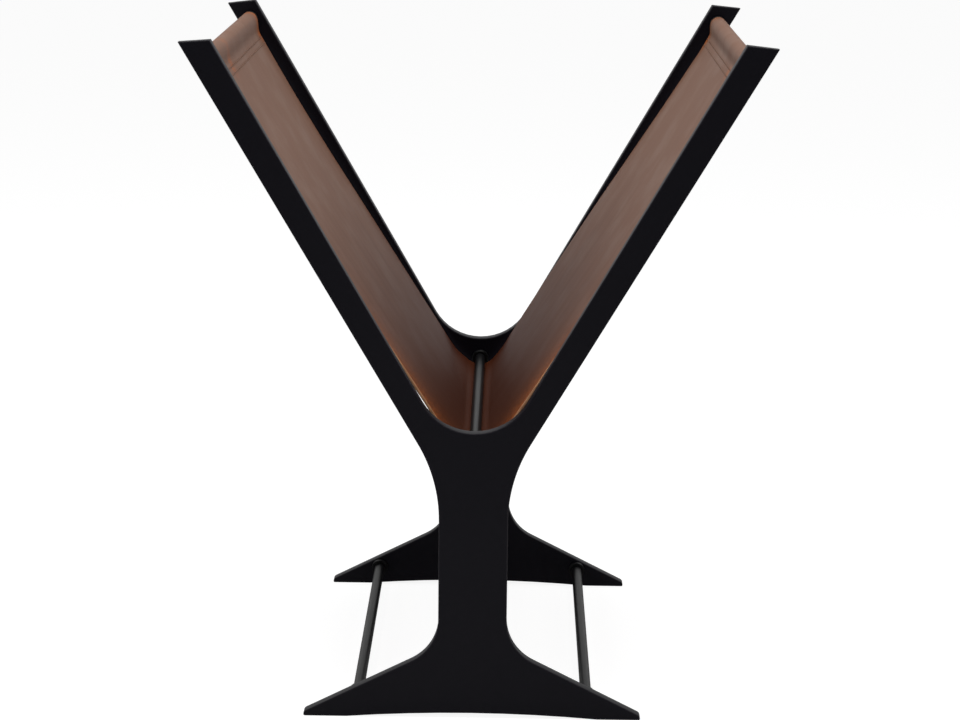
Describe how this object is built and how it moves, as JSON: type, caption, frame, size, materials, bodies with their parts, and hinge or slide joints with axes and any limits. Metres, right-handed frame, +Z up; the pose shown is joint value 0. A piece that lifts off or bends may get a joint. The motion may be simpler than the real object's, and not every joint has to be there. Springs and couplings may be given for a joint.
{
  "type": "magazine rack",
  "caption": "Free-standing magazine rack: a leather sling on round tie rods between Y-shaped end plates, open at the top.",
  "frame": {"origin": "on the floor, midway between the two feet and midway between the two plates", "axes": "+X to the right seen from the front, +Y from the front plate to the back plate, +Z up"},
  "size_m": [0.4044, 0.306, 0.482],
  "materials": {
    "plate_black": "satin black powder coat",
    "rod_black": "satin black lacquer on steel",
    "leather": "brown vegetable-tanned saddle leather, smooth side in, cut edges",
    "screw_steel": "plain machined steel",
    "thread": "brown waxed sewing thread"
  },
  "bodies": {
    "root": {"front_plate": "plate_black", "back_plate": "plate_black", "leather_sling": "leather", "left_top_rod": "rod_black", "right_top_rod": "rod_black", "keel_rod": "rod_black", "left_foot_rod": "rod_black", "right_foot_rod": "rod_black", "front_left_top_collar": "rod_black", "front_right_top_collar": "rod_black", "front_keel_collar": "rod_black", "front_left_foot_collar": "rod_black", "front_right_foot_collar": "rod_black", "back_left_top_collar": "rod_black", "back_right_top_collar": "rod_black", "back_keel_collar": "rod_black", "back_left_foot_collar": "rod_black", "back_right_foot_collar": "rod_black", "front_left_top_screw": "screw_steel", "front_right_top_screw": "screw_steel", "front_keel_screw": "screw_steel", "front_left_foot_screw": "screw_steel", "front_right_foot_screw": "screw_steel", "back_left_top_screw": "screw_steel", "back_right_top_screw": "screw_steel", "back_keel_screw": "screw_steel", "back_left_foot_screw": "screw_steel", "back_right_foot_screw": "screw_steel"}
  },
  "joints": []
}
